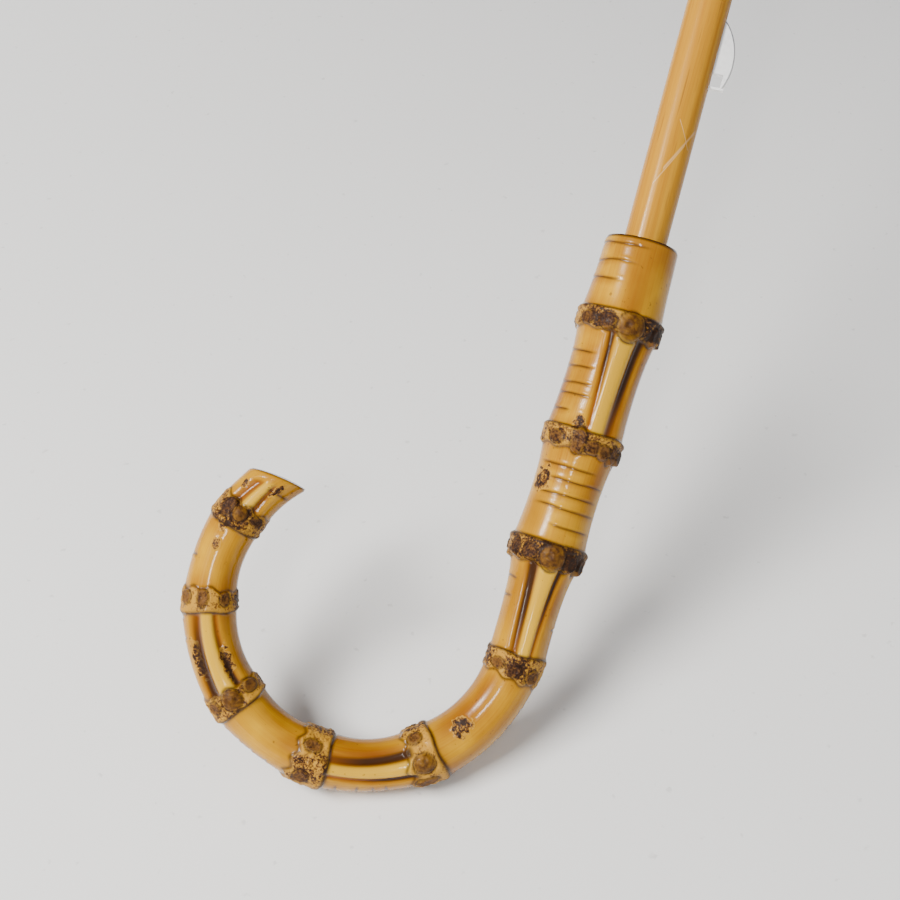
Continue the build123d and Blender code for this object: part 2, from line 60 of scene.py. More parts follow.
# The umbrella's own axes, from its joints
RIB_COUNT = 8
RIB_STEP = tau / RIB_COUNT
PIVOTS = [Vector(JOINTS[f"rib_{n}_fold"]["pos_m"]) for n in range(1, RIB_COUNT + 1)]
NOTCH = sum(PIVOTS, Vector()) / RIB_COUNT
UP_SHAFT = -Vector(JOINTS["runner_slide"]["axis"]).normalized()
AXIS_X = (PIVOTS[0] + PIVOTS[-1] - 2 * NOTCH).normalized()
AXIS_Y = UP_SHAFT.cross(AXIS_X)
PIVOT_R = (PIVOTS[0] - NOTCH).length

# Driving dimensions, as in the CAD model
NOTCH_Z = 600 * MM
SHAFT_R = 6.5 * MM
HOOK_ANGLE = radians(-72)
GRIP_LENGTH = 125.7 * MM
GRIP_OFFSET_AT_COLLAR = 0.7 * MM
GRIP_OFFSET_AT_CROOK = 5.1 * MM
CROOK_R = 46.4 * MM
HANDLE_LENGTH = GRIP_LENGTH + CROOK_R * radians(221)
RIB_BEND_R = 1650 * MM
RIB_OPEN = radians(79)
CLOTH_FROM = 4 * MM
CLOTH_TO = 556 * MM

COLLAR = NOTCH - NOTCH_Z * UP_SHAFT
TO_ROW = np.array([AXIS_X, AXIS_Y, UP_SHAFT]).T


def at(points):
    """Points of umbrella space, one a line, as points of the shared frame."""
    return np.asarray(points) @ TO_ROW.T + np.array(COLLAR)


def smooth(low, high, x):
    """0 below low, 1 above high, and a smooth step between."""
    t = np.clip((x - low) / (high - low), 0.0, 1.0)
    return t * t * (3 - 2 * t)


def bell(x, width):
    return np.exp(-((x / width) ** 2))


def between(low, high, soft, x):
    """1 from low to high, falling to 0 over a soft edge."""
    return smooth(low - soft, low, x) * (1 - smooth(high, high + soft, x))


# Meshes

def add_mesh(name, points, faces, attributes=None, uv=None, smooth_faces=True, crease=None):
    """A mesh piece from points of the frame, with float attributes and UVs given for each point.
    Edges that turn by more than the crease angle stay sharp."""
    mesh = bpy.data.meshes.new(name)
    mesh.from_pydata([tuple(p) for p in points], [], faces)
    mesh.update()
    for key, values in (attributes or {}).items():
        layer = mesh.attributes.new(key, "FLOAT", "POINT")
        layer.data.foreach_set("value", np.asarray(values, dtype=np.float32).ravel())
    if uv is not None:
        layer = mesh.uv_layers.new(name="UVMap")
        corner = np.array([loop.vertex_index for loop in mesh.loops])
        layer.data.foreach_set("uv", np.asarray(uv, dtype=np.float32)[corner].ravel())
    if smooth_faces:
        mesh.polygons.foreach_set("use_smooth", [True] * len(mesh.polygons))
    if crease is not None:
        mesh.set_sharp_from_angle(angle=crease)
    piece = bpy.data.objects.new(name, mesh)
    bpy.context.scene.collection.objects.link(piece)
    return piece


def tube_faces(rings, around):
    """Quads of a tube of rings, with one face over each end."""
    faces = []
    for i in range(rings - 1):
        for j in range(around):
            k = (j + 1) % around
            faces.append((i * around + j, i * around + k, (i + 1) * around + k, (i + 1) * around + j))
    faces.append(tuple(reversed(range(around))))
    faces.append(tuple(range((rings - 1) * around, rings * around)))
    return faces


def rim_of(rows, columns):
    """The outline of a grid of points, as their numbers in order."""
    rim = [(i, 0) for i in range(rows)]
    rim += [(rows - 1, j) for j in range(1, columns)]
    rim += [(i, columns - 1) for i in range(rows - 2, -1, -1)]
    rim += [(0, j) for j in range(columns - 2, 0, -1)]
    return [i * columns + j for i, j in rim]


class Lattice:
    """Smooth random values over a surface that is periodic around and runs on along its length."""

    def __init__(self, seed, along, around):
        self.values = np.random.default_rng(seed).uniform(-1, 1, (along, around))

    def __call__(self, u, v):
        """u counts cells along, v counts turns around from 0 to 1."""
        along, around = self.values.shape
        x = np.asarray(u)
        y = np.asarray(v) * around
        x0 = np.floor(x).astype(int)
        y0 = np.floor(y).astype(int)
        fx = smooth(0, 1, x - x0)
        fy = smooth(0, 1, y - y0)
        a = self.values[x0 % along, y0 % around]
        b = self.values[(x0 + 1) % along, y0 % around]
        c = self.values[x0 % along, (y0 + 1) % around]
        d = self.values[(x0 + 1) % along, (y0 + 1) % around]
        return (a * (1 - fx) + b * fx) * (1 - fy) + (c * (1 - fx) + d * fx) * fy


# Materials

class Nodes:
    """Short calls for building one material's node tree."""

    def __init__(self, name):
        self.material = bpy.data.materials.new(name)
        self.material.use_nodes = True
        self.tree = self.material.node_tree
        self.shader = self.tree.nodes["Principled BSDF"]

    def new(self, kind, **settings):
        node = self.tree.nodes.new(kind)
        for key, value in settings.items():
            setattr(node, key, value)
        return node

    def put(self, socket, value):
        if isinstance(value, bpy.types.NodeSocket):
            self.tree.links.new(value, socket)
        elif value is not None:
            socket.default_value = value

    def set(self, **values):
        """Sets the shader's own sockets, written with _ for a space."""
        for key, value in values.items():
            self.put(self.shader.inputs[key.replace("_", " ")], value)

    def attribute(self, name):
        return self.new("ShaderNodeAttribute", attribute_name=name).outputs["Fac"]

    def math(self, operation, a, b=None, clamp=False):
        node = self.new("ShaderNodeMath", operation=operation, use_clamp=clamp)
        self.put(node.inputs[0], a)
        self.put(node.inputs[1], b)
        return node.outputs[0]

    def mix(self, factor, a, b, kind="MIX"):
        node = self.new("ShaderNodeMix", data_type="RGBA", blend_type=kind)
        self.put(node.inputs["Factor"], factor)
        self.put(node.inputs[6], a)
        self.put(node.inputs[7], b)
        return node.outputs[2]

    def ramp(self, factor, *stops):
        """A colour ramp; each stop is a position and a grey value or a colour."""
        node = self.new("ShaderNodeValToRGB")
        self.put(node.inputs[0], factor)
        elements = node.color_ramp.elements
        for n, (position, value) in enumerate(stops):
            element = elements[n] if n < 2 else elements.new(position)
            element.position = position
            element.color = value if isinstance(value, tuple) else (value, value, value, 1)
        return node.outputs[0]

    def noise(self, vector, scale, detail=3.0, roughness=0.5, distortion=0.0):
        node = self.new("ShaderNodeTexNoise")
        self.put(node.inputs["Vector"], vector)
        for key, value in (("Scale", scale), ("Detail", detail), ("Roughness", roughness),
                           ("Distortion", distortion)):
            self.put(node.inputs[key], value)
        return node.outputs["Fac"]

    def bump(self, height, strength, distance, normal=None):
        node = self.new("ShaderNodeBump")
        self.put(node.inputs["Height"], height)
        self.put(node.inputs["Strength"], strength)
        self.put(node.inputs["Distance"], distance)
        self.put(node.inputs["Normal"], normal)
        return node.outputs[0]

    def umbrella_space(self, stretch=(1, 1, 1)):
        """Object coordinates turned into umbrella space, then scaled by stretch."""
        place = self.new("ShaderNodeTexCoord").outputs["Object"]
        centre = self.new("ShaderNodeVectorMath", operation="SUBTRACT")
        self.put(centre.inputs[0], place)
        self.put(centre.inputs[1], tuple(COLLAR))
        parts = self.new("ShaderNodeCombineXYZ")
        for n, axis in enumerate((AXIS_X, AXIS_Y, UP_SHAFT)):
            dot = self.new("ShaderNodeVectorMath", operation="DOT_PRODUCT")
            self.put(dot.inputs[0], centre.outputs[0])
            self.put(dot.inputs[1], tuple(axis * stretch[n]))
            self.put(parts.inputs[n], dot.outputs["Value"])
        return parts.outputs[0]


def bamboo_material():
    """Lacquered root bamboo: honey skin, amber shading, burnt bands and scars, dark growth rings."""
    m = Nodes("lacquered_root_bamboo")
    space = m.umbrella_space()
    coords = m.new("ShaderNodeUVMap").outputs[0]
    fibre_space = m.new("ShaderNodeMapping")
    m.put(fibre_space.inputs["Vector"], coords)
    m.put(fibre_space.inputs["Scale"], (26.0, 900.0, 1.0))
    fibre = m.noise(fibre_space.outputs[0], 1.0, 4.0, 0.6)
    cloud = m.noise(space, 55.0, 3.0, 0.55)
    speckle = m.noise(space, 1500.0, 3.0, 0.65)
    mottle = m.noise(space, 420.0, 3.0, 0.6)

    honey = m.ramp(cloud, (0.30, (0.375, 0.150, 0.000, 1)), (0.72, (0.620, 0.325, 0.002, 1)))
    skin = m.mix(m.ramp(fibre, (0.38, 0.0), (0.78, 0.45)), honey, (0.66, 0.385, 0.012, 1))
    skin = m.mix(m.ramp(fibre, (0.24, 0.55), (0.40, 0.0)), skin, (0.300, 0.100, 0.000, 1))
    # Brown stains and tone, and also painted shade inside the crook's bend and beside the bud channels'
    # grooves
    skin = m.mix(m.attribute("amber"), skin, (0.185, 0.045, 0.000, 1))
    skin = m.mix(m.attribute("pale"), skin, (0.70, 0.425, 0.022, 1))
    specks = m.ramp(m.noise(space, 620.0, 2.0, 0.5), (0.255, 0.55), (0.300, 0.0))
    skin = m.mix(specks, skin, (0.080, 0.026, 0.003, 1))
    skin = m.mix(m.attribute("ring"), skin, (0.045, 0.013, 0.002, 1))

    burn = m.attribute("burn")
    shade = m.math("ADD", speckle, m.math("MULTIPLY", m.math("SUBTRACT", mottle, 0.5), 0.7))
    shade = m.math("SUBTRACT", m.math("ADD", shade, 0.34), m.math("MULTIPLY", burn, 0.52))
    bark = m.ramp(shade, (0.40, (0.022, 0.009, 0.004, 1)), (0.52, (0.150, 0.060, 0.012, 1)),
                  (0.62, (0.425, 0.210, 0.018, 1)))
    edge = m.math("ADD", burn, m.math("MULTIPLY", m.math("SUBTRACT", speckle, 0.5), 0.35))
    cover = m.ramp(edge, (0.20, 0.0), (0.30, 1.0))
    colour = m.mix(cover, skin, bark)
    disc = m.ramp(shade, (0.30, (0.012, 0.004, 0.002, 1)), (0.52, (0.042, 0.015, 0.005, 1)),
                  (0.78, (0.130, 0.050, 0.010, 1)))
    colour = m.mix(m.attribute("scar"), colour, disc)
    bud = m.ramp(mottle, (0.34, (0.055, 0.019, 0.003, 1)), (0.68, (0.200, 0.086, 0.007, 1)))
    colour = m.mix(m.attribute("bud"), colour, bud)
    # Dark rims, pits and edge lines, and also painted shade in the bud channels' grooves
    colour = m.mix(m.attribute("groove"), colour, (0.020, 0.007, 0.002, 1))
    colour = m.mix(m.attribute("cut"), colour, (0.030, 0.012, 0.004, 1))

    rough = m.math("ADD", 0.20, m.math("MULTIPLY", cover, 0.25))
    rough = m.math("ADD", rough, m.math("MULTIPLY", m.attribute("scar"), 0.15))
    rough = m.math("ADD", rough, m.math("MULTIPLY", cloud, 0.06))
    fine = m.bump(m.math("MULTIPLY", speckle, cover), 0.45, 0.0004)
    normal = m.bump(fibre, 0.08, 0.0003, fine)
    bare = m.math("MAXIMUM", cover, m.math("MAXIMUM", m.attribute("scar"), m.attribute("bud")))
    lacquer = m.math("SUBTRACT", 0.36, m.math("MULTIPLY", bare, 0.30))
    m.set(Base_Color=colour, Roughness=rough, Normal=normal, Specular_IOR_Level=0.14,
          Coat_Weight=lacquer, Coat_Roughness=0.055, Coat_IOR=1.5)
    return m.material


# Scratches of the shaft's front: height, slope, half-width, and where they run from side to side
SCRATCHES = [(25.5 * MM, 2.0, 0.9 * MM, -5.2 * MM, 1.6 * MM),
             (24.4 * MM, 2.1, 0.5 * MM, -3.0 * MM, 3.4 * MM),
             (37.0 * MM, -1.6, 0.35 * MM, -4.4 * MM, 0.5 * MM)]
SCRATCHED_FRONT = 1.5 * MM


def shaft_material():
    """Varnished pale wood with long fine fibres, a few dark pores and old slanting scratches."""
    m = Nodes("varnished_wood")
    along = m.umbrella_space((420, 420, 7.0))
    pores_space = m.umbrella_space((1500, 1500, 42.0))
    cloud_space = m.umbrella_space((70, 70, 9.0))
    fibre = m.noise(along, 1.0, 5.0, 0.62, 0.25)
    pores = m.noise(pores_space, 1.0, 2.0, 0.5)
    cloud = m.noise(cloud_space, 1.0, 3.0, 0.5)
    wood = m.ramp(fibre, (0.30, (0.33, 0.125, 0.003, 1)), (0.70, (0.54, 0.270, 0.013, 1)))
    wood = m.mix(m.ramp(cloud, (0.35, 0.0), (0.75, 0.6)), wood, (0.42, 0.165, 0.006, 1))
    wood = m.mix(m.ramp(pores, (0.26, 0.65), (0.36, 0.0)), wood, (0.20, 0.075, 0.012, 1))
    place = m.new("ShaderNodeSeparateXYZ")
    m.put(place.inputs[0], m.umbrella_space())
    x, y, z = place.outputs
    along_hook, over_hook = cos(HOOK_ANGLE), sin(HOOK_ANGLE)
    side = m.math("ADD", m.math("MULTIPLY", x, along_hook), m.math("MULTIPLY", y, over_hook))
    front = m.math("SUBTRACT", m.math("MULTIPLY", y, along_hook), m.math("MULTIPLY", x, over_hook))
    facing = m.math("GREATER_THAN", front, SCRATCHED_FRONT)
    for height, slope, half, low, high in SCRATCHES:
        off = m.math("SUBTRACT", z, m.math("SUBTRACT", height, m.math("MULTIPLY", side, slope)))
        line = m.math("SUBTRACT", 1.0, m.math("DIVIDE", m.math("ABSOLUTE", off), half), clamp=True)
        inside = m.math("MULTIPLY", m.math("GREATER_THAN", side, low), m.math("LESS_THAN", side, high))
        line = m.math("MULTIPLY", m.math("MULTIPLY", line, inside), facing)
        wood = m.mix(m.math("MULTIPLY", line, 0.75), wood, (0.62, 0.40, 0.17, 1))
    rough = m.math("ADD", 0.16, m.math("MULTIPLY", fibre, 0.14))
    normal = m.bump(fibre, 0.16, 0.0004)
    m.set(Base_Color=wood, Roughness=rough, Normal=normal, Specular_IOR_Level=0.15,
          Coat_Weight=0.24, Coat_Roughness=0.07, Coat_IOR=1.5)
    return m.material


def metal_material(name, colour, roughness, scratches=(900, 900, 60), wear=0.25, depth=0.0001):
    """Metal with fine drawn or turned lines and patches of dulled finish."""
    m = Nodes(name)
    lines = m.noise(m.umbrella_space(scratches), 1.0, 3.0, 0.6)
    patches = m.noise(m.umbrella_space((160, 160, 160)), 1.0, 4.0, 0.6)
    dull = tuple(0.72 * c for c in colour[:3]) + (1,)
    shade = m.mix(m.ramp(patches, (0.42, 0.0), (0.72, wear)), colour, dull)
    rough = m.math("ADD", roughness, m.math("MULTIPLY", lines, 0.12))
    rough = m.math("ADD", rough, m.math("MULTIPLY", patches, wear * 0.5))
    m.set(Base_Color=shade, Metallic=1.0, Roughness=rough, Normal=m.bump(lines, 0.2, depth))
    return m.material


def cloth_material(name, colour, threads=1900.0, sheen=0.35):
    """A tight plain weave on UVs in metres, with slubs and slightly uneven dye."""
    m = Nodes(name)
    coords = m.new("ShaderNodeUVMap").outputs[0]
    split = m.new("ShaderNodeSeparateXYZ")
    m.put(split.inputs[0], coords)
    warp = m.math("SINE", m.math("MULTIPLY", split.outputs[0], threads * pi))
    weft = m.math("SINE", m.math("MULTIPLY", split.outputs[1], threads * pi))
    weave = m.math("MULTIPLY", warp, weft)
    slub_space = m.new("ShaderNodeMapping")
    m.put(slub_space.inputs["Vector"], coords)
    m.put(slub_space.inputs["Scale"], (900.0, 45.0, 1.0))
    slub = m.noise(slub_space.outputs[0], 1.0, 3.0, 0.6)
    dye = m.noise(coords, 14.0, 3.0, 0.5)
    light = tuple(min(1.0, 1.75 * c + 0.006) for c in colour[:3]) + (1,)
    gap = tuple(0.55 * c for c in colour[:3]) + (1,)
    shade = m.mix(m.ramp(slub, (0.35, 0.0), (0.75, 0.55)), colour, light)
    shade = m.mix(m.ramp(dye, (0.40, 0.0), (0.70, 0.25)), shade, light)
    shade = m.mix(m.ramp(weave, (0.0, 0.35), (1.0, 0.0)), shade, gap)
    rough = m.math("ADD", 0.52, m.math("MULTIPLY", slub, 0.16))
    m.set(Base_Color=shade, Roughness=rough, Normal=m.bump(weave, 0.30, 0.00012),
          Sheen_Weight=sheen, Sheen_Roughness=0.4, Sheen_Tint=(0.75, 0.80, 0.95, 1),
          Specular_IOR_Level=0.35)
    return m.material


def felt_material():
    """Pressed wool felt: a matted surface of short fibres."""
    m = Nodes("navy_felt")
    mat = m.noise(m.umbrella_space(), 1400.0, 4.0, 0.7, 0.8)
    patch = m.noise(m.umbrella_space(), 260.0, 2.0, 0.5)
    shade = m.mix(m.ramp(mat, (0.35, 0.0), (0.70, 1.0)), (0.010, 0.014, 0.034, 1), (0.030, 0.040, 0.085, 1))
    shade = m.mix(m.ramp(patch, (0.40, 0.0), (0.70, 0.4)), shade, (0.018, 0.024, 0.050, 1))
    m.set(Base_Color=shade, Roughness=0.92, Normal=m.bump(mat, 0.7, 0.0004), Sheen_Weight=0.8,
          Sheen_Roughness=0.5, Specular_IOR_Level=0.2)
    return m.material


BAMBOO = bamboo_material()
SHAFT_WOOD = shaft_material()
NICKEL = metal_material("bright_nickel", (0.74, 0.71, 0.66, 1), 0.16)
SPRING = metal_material("pressed_spring_steel", (0.92, 0.91, 0.89, 1), 0.30, (700, 700, 700))
STEEL = metal_material("plated_rib_steel", (0.58, 0.58, 0.58, 1), 0.24, (700, 700, 700))
TURNED = metal_material("turned_nickel", (0.70, 0.69, 0.66, 1), 0.18, (90, 90, 2600))
NAVY = (0.012, 0.022, 0.062, 1)
CLOTH = cloth_material("navy_canopy_cloth", NAVY)
TAPE = cloth_material("navy_woven_tape", (0.010, 0.017, 0.045, 1), 1100.0)
THREAD = cloth_material("navy_thread", (0.022, 0.036, 0.085, 1), 2600.0)
FELT = felt_material()


# The handle

class CulmNode:
    """One joint of the bamboo: where its band is, how thick the cane is at it and above it, and
    its scars: (degrees around from the front, towards the crook's outside, mm along, mm radius).
    wide stretches the band along the cane, and dark_side says which groove of its channel is the wide dark
    one, coloured as painted shade."""

    def __init__(self, at_mm, band_mm, waist_mm, scars, bud, burnt, wide=1.0, dark_side=1):
        self.at = at_mm * MM
        self.band = band_mm * MM
        self.waist = waist_mm * MM
        self.scars = scars
        self.bud = bud
        self.burnt = burnt
        self.wide = wide
        self.dark_side = dark_side


CULM_NODES = [
    CulmNode(26.1, 13.2, 11.3, [(-56, 0, 2.3), (-25, 0, 2.5), (52, 0.4, 2.6), (82, 0.2, 2.2)],
             (8, 0.6, 4.3), 0.85),
    CulmNode(62.6, 12.4, 10.6, [(-49, 0, 2.2), (-14, -0.6, 3.0), (9, 0.4, 2.3), (27, 0.6, 2.2),
                                (45, 0.8, 2.4), (66, 0.8, 2.4)], (188, 0.4, 4.2), 0.80),
    CulmNode(97.0, 12.0, 9.9, [(-62, -0.4, 2.2), (-34, 0, 2.4), (34, 0.3, 2.6), (58, 0.6, 2.4)],
             (2, 0.4, 4.0), 0.85, 1.1, -1),
    CulmNode(131.2, 9.0, 8.2, [(-40, 0, 2.0), (-6, 0.2, 2.2), (38, 0.5, 2.2)], (182, 0.4, 3.4), 0.62, 1.2),
    CulmNode(170.2, 9.1, 8.0, [(-48, 0, 2.2), (52, 0.4, 2.4)], (6, 0, 3.1), 0.60, 1.5, -1),
    CulmNode(203.9, 8.8, 7.3, [(-30, 0, 2.3), (40, 0.2, 2.3)], (184, 0.3, 3.2), 0.58, 1.6),
    CulmNode(232.5, 8.7, 7.1, [(-46, 0.4, 2.4), (48, -0.2, 2.0)], (2, 0, 3.1), 0.70, 1.1),
    CulmNode(262.3, 8.3, 7.4, [(-36, 0, 1.9), (10, 0.1, 2.0), (52, 0, 2.0)], (176, 0.3, 3.1), 0.72, 1.1),
    CulmNode(289.0, 7.9, 7.0, [(32, -0.2, 2.4), (-44, 0.3, 1.8)], (0, 0.2, 2.3), 0.66, 1.2),
]
COLLAR_R = 11.0 * MM
CROOK_TIP_R = 7.3 * MM
TIP_BIAS = 4.6 * MM
COLLAR_FLARE = 14.0 * MM
FLARE_DOWN = 6.5 * MM
FLARE_UP = 8.5 * MM
BACK_SCARS = (112, 136, 160, 208, 232, 256)
PATCH_CANE_R = 8 * MM
SKIN_ALONG = 800
SKIN_AROUND = 120
SAWN_EDGE = 0.9 * MM
UV_AROUND = 0.06

# Rough bark patches away from the nodes: mm along, degrees around, mm half-length, degrees half-width
BARK_PATCHES = [(76.0, -58, 4.4, 22), (57.2, -22, 3.6, 12), (155.0, -20, 4.2, 24), (246.0, 44, 6.5, 15),
                (243.0, -24, 6.0, 15), (284.0, 20, 2.6, 12), (278.6, 14, 2.0, 11),
                (300.0, -24, 2.6, 8), (298.0, 44, 2.2, 8)]

# Brown stains under the lacquer: mm along, degrees around, mm half-length, degrees half-width, strength
STAINS = [(36, 62, 22, 26, 0.85), (44, -44, 12, 22, 0.55), (108, 40, 14, 26, 0.70),
          (116, -40, 10, 24, 0.55), (154, -40, 16, 36, 0.85), (184, -34, 16, 30, 0.95),
          (180, 60, 12, 22, 0.60), (222, -60, 12, 24, 0.55), (252, 62, 12, 24, 0.45),
          (268, -60, 10, 24, 0.60), (64, 60, 9, 24, 0.60), (299, 0, 9, 60, 0.40),
          (210, -14, 8, 44, 0.62), (200, 50, 9, 26, 0.45), (276, 70, 9, 22, 0.55),
          (86, -56, 10, 36, 0.60), (110, -54, 13, 36, 0.66), (20, 40, 8, 36, 0.35),
          (150, 40, 9, 40, 0.40)]

# Growth rings, cut part of the way round: mm along, degrees of the middle, degrees half-length
RINGS = [(2.6, -60, 75), (8.2, -70, 70), (13.6, -78, 62), (36.5, -66, 40), (41.4, -62, 42), (46.4, -60, 46),
         (49.6, -56, 46), (54.5, -70, 30), (70.8, -20, 60), (74.6, 10, 70), (79.0, -8, 76), (83.0, 5, 74),
         (88.0, 20, 45), (106.0, -75, 26), (111.5, -78, 24), (118.0, 74, 26), (141.0, 84, 26),
         (146.0, 86, 28), (151.0, 88, 26), (157.0, 88, 24), (163.0, 90, 26), (182.0, 72, 34),
         (185.5, 74, 34), (189.5, 72, 34), (195.0, 74, 34), (214.0, 76, 25), (218.5, 80, 26),
         (223.0, 82, 25), (227.5, 82, 22), (252.0, 80, 22), (257.0, 82, 22), (274.0, 70, 24),
         (299.5, -40, 40)]


def handle_line(distance):
    """The handle's centreline and its direction, in (towards the hook, up the shaft)."""
    part = np.clip(distance / GRIP_LENGTH, 0, 1)
    turn = np.clip(distance - GRIP_LENGTH, 0, None) / CROOK_R
    drift = GRIP_OFFSET_AT_CROOK - GRIP_OFFSET_AT_COLLAR
    across = GRIP_OFFSET_AT_COLLAR + drift * part ** 2 * (3 - 2 * part) + CROOK_R * (1 - np.cos(turn))
    up = -np.minimum(distance, GRIP_LENGTH) - CROOK_R * np.sin(turn)
    slope = np.where(turn > 0, 0.0, drift * 6 * part * (1 - part) / GRIP_LENGTH)
    return across, up, slope + np.sin(turn), -np.cos(turn)


def cane_radius(distance):
    """The bare cane's radius: it flares into each node and is waisted between them."""
    spots = [(0.0, COLLAR_R, COLLAR_R)]
    spots += [(node.at, node.band, node.waist) for node in CULM_NODES]
    spots.append((HANDLE_LENGTH, CROOK_TIP_R, CROOK_TIP_R * 0.98))
    radius = np.full_like(distance, CROOK_TIP_R)
    for (above, above_r, _), (below, below_r, waist) in zip(spots, spots[1:]):
        inside = (distance >= above) & (distance <= below)
        d = distance[inside]
        flare_down = 0.80 * (above_r - waist) * np.exp(-(d - above) / FLARE_DOWN)
        flare_up = 0.84 * (below_r - waist) * np.exp(-(below - d) / FLARE_UP)
        if above == 0.0:
            flare_down = (COLLAR_R - waist) * np.exp(-d / COLLAR_FLARE)
        radius[inside] = waist + flare_down + flare_up
    return radius


class Skin:
    """The handle's surface as a grid of (distance, angle): its height over the cane, and how much
    of each look it has at each point."""

    def __init__(self, along, around):
        self.s, self.turn = np.meshgrid(np.linspace(0, HANDLE_LENGTH, along),
                                        np.arange(around) / around, indexing="ij")
        self.angle = self.turn * tau
        self.radius = cane_radius(self.s)
        self.height = np.zeros_like(self.s)
        looks = ("burn", "scar", "bud", "groove", "ring", "amber", "pale", "cut")
        self.looks = {look: np.zeros_like(self.s) for look in looks}
        self.rough = Lattice(11, 260, 36)
        self.fine = Lattice(12, 700, 90)
        self.wander = Lattice(13, 40, 9)

    def away(self, at, degrees_round, node_r):
        """Distances along and around from a spot."""
        around = (self.angle - radians(degrees_round) + pi) % tau - pi
        return self.s - at, around * node_r

    def cover(self, look, amount):
        self.looks[look] = np.maximum(self.looks[look], amount)

    def add_band(self, node, seed):
        """The raised, cracked band: a lip towards the collar and a scalloped edge towards the crook."""
        wave = 0.9 * MM * self.wander(node.at / MM + seed, self.turn)
        scallop = 0.45 * MM * np.cos(self.angle * 9 + seed)
        x = (self.s - node.at - wave * 0.6) / node.wide
        body = between(-2.9 * MM, 2.1 * MM, 1.1 * MM, x - scallop * smooth(-MM, MM, x))
        rise = np.maximum(node.band - self.radius, 0.3 * MM)
        crumb = 0.15 * MM * self.rough(self.s / (1.1 * MM), self.turn)
        crumb += 0.11 * MM * self.fine(self.s / (0.45 * MM), self.turn)
        lip = 0.30 * MM * bell(x + 2.6 * MM, 0.7 * MM)
        self.height += body * (rise * 0.80 + crumb) + lip
        patch = 0.80 + 0.55 * self.wander(node.at / MM * 1.7 + 3 + seed, self.turn)
        self.cover("burn", body * np.clip(node.burnt * patch, 0.32, 1.0))
        self.cover("groove", 0.95 * bell(x + 3.4 * MM, 0.42 * MM))
        self.cover("groove", 0.80 * bell(x - 3.0 * MM - scallop, 0.40 * MM))
        self.cover("amber", 0.62 * bell(x, 6.0 * MM))

    def add_scar(self, at, degrees_round, r, node_r):
        """A round root scar: a raised rim, a dished floor with a ripple, and a dark edge."""
        along, around = self.away(at, degrees_round, node_r)
        squeeze = 1.0 + 0.22 * sin(degrees_round * 3.7 + at / MM)
        wobble = 0.10 * self.rough(self.s / (1.6 * MM), self.turn)
        spread = np.hypot(along * squeeze, around / squeeze) / r + wobble
        inside = 1 - smooth(0.84, 1.08, spread)
        level = np.maximum(node_r - self.radius, 0.3 * MM) * 0.92
        self.height = self.height * (1 - inside) + level * inside
        self.height += MM * (0.16 * bell(spread - 0.80, 0.17) - 0.14 * (1 - smooth(0.30, 0.75, spread)))
        self.height -= 0.30 * MM * bell(spread - 1.14, 0.13)
        self.looks["scar"] = np.maximum(self.looks["scar"] * (1 - inside), 0.92 * inside)
        self.looks["groove"] *= 1 - 0.9 * inside
        self.cover("groove", 0.95 * bell(spread - 1.10, 0.14))
        self.cover("groove", 0.75 * bell(spread, 0.20))

    def add_bud(self, at, degrees_round, r, node_r):
        """A big bud scar: a shallow dome of growth rings with an off-centre pit."""
        along, around = self.away(at, degrees_round, node_r)
        spread = np.hypot(along, around) / r
        inside = 1 - smooth(0.88, 1.04, spread)
        level = np.maximum(node_r - self.radius, 0.3 * MM) * 0.85
        self.height = self.height * (1 - inside) + level * inside
        dome = 0.85 * MM * np.clip(1 - spread ** 2, 0, None)
        pit = np.hypot(along + 0.1 * r, around + 0.34 * r) / r
        ripple = np.cos(pit * 17.0)
        self.height += dome + 0.07 * MM * ripple * inside - 0.50 * MM * bell(pit, 0.17)
        self.height -= 0.35 * MM * bell(spread - 1.10, 0.11)
        self.looks["scar"] *= 1 - inside
        self.looks["groove"] *= 1 - 0.9 * inside
        self.cover("bud", 0.95 * inside)
        self.cover("groove", 0.95 * bell(spread - 1.07, 0.10) + 0.85 * bell(pit, 0.15))
        self.cover("groove", 0.50 * inside * smooth(0.60, 1.0, ripple) * smooth(0.2, 0.5, pit))

    def add_sulcus(self, start, stop, degrees_round, r, node_r, dark_side):
        """The channel that a bud leaves along the next stretch of cane: a flat pale ridge that
        tapers away from the bud, between two grooves of which one is wide. The grooves are
        painted dark and the cane beside them amber, as painted shade."""
        part = np.clip((self.s - start) / (stop - start), 0, 1)
        along = between(start + 0.5 * MM, stop - 2.5 * MM, 2.5 * MM, self.s)
        around = self.away(start, degrees_round, node_r)[1] * dark_side
        half = r * (0.90 - 0.32 * part)
        ridge = 1 - smooth(0.55, 1.05, np.abs(around) / half)
        left_wide = 1.25 * MM * (1 - 0.45 * part)
        right_wide = 2.40 * MM * (1 - 0.30 * part)
        left = bell((around + half + 0.55 * left_wide) / left_wide, 1.0)
        right = bell((around - half - 0.60 * right_wide) / right_wide, 1.0)
        self.height += along * 0.45 * MM * ridge * (1 - 0.5 * part)
        self.height -= along * 1.05 * MM * left * (1 - 0.70 * part)
        self.height -= along * 1.55 * MM * right * (1 - 0.45 * part)
        # Painted shade: the grooves are coloured near black, fainter on a thin cane near the tip
        dark = along * np.clip((r - 2.2 * MM) / (0.9 * MM), 0.12, 1)
        self.cover("groove", dark * 0.95 * smooth(0.45, 0.95, left) * (1 - smooth(0.25, 0.75, part)))
        fade = 1 - smooth(0.45, 1.05, part) * 0.75
        self.cover("groove", dark * 0.92 * smooth(0.35, 0.90, right) * fade)
        # Painted shade: the cane beside the grooves is coloured amber
        self.cover("amber", along * 0.95 * np.maximum(left, right) ** 0.45)
        self.cover("pale", along * 0.55 * ridge)

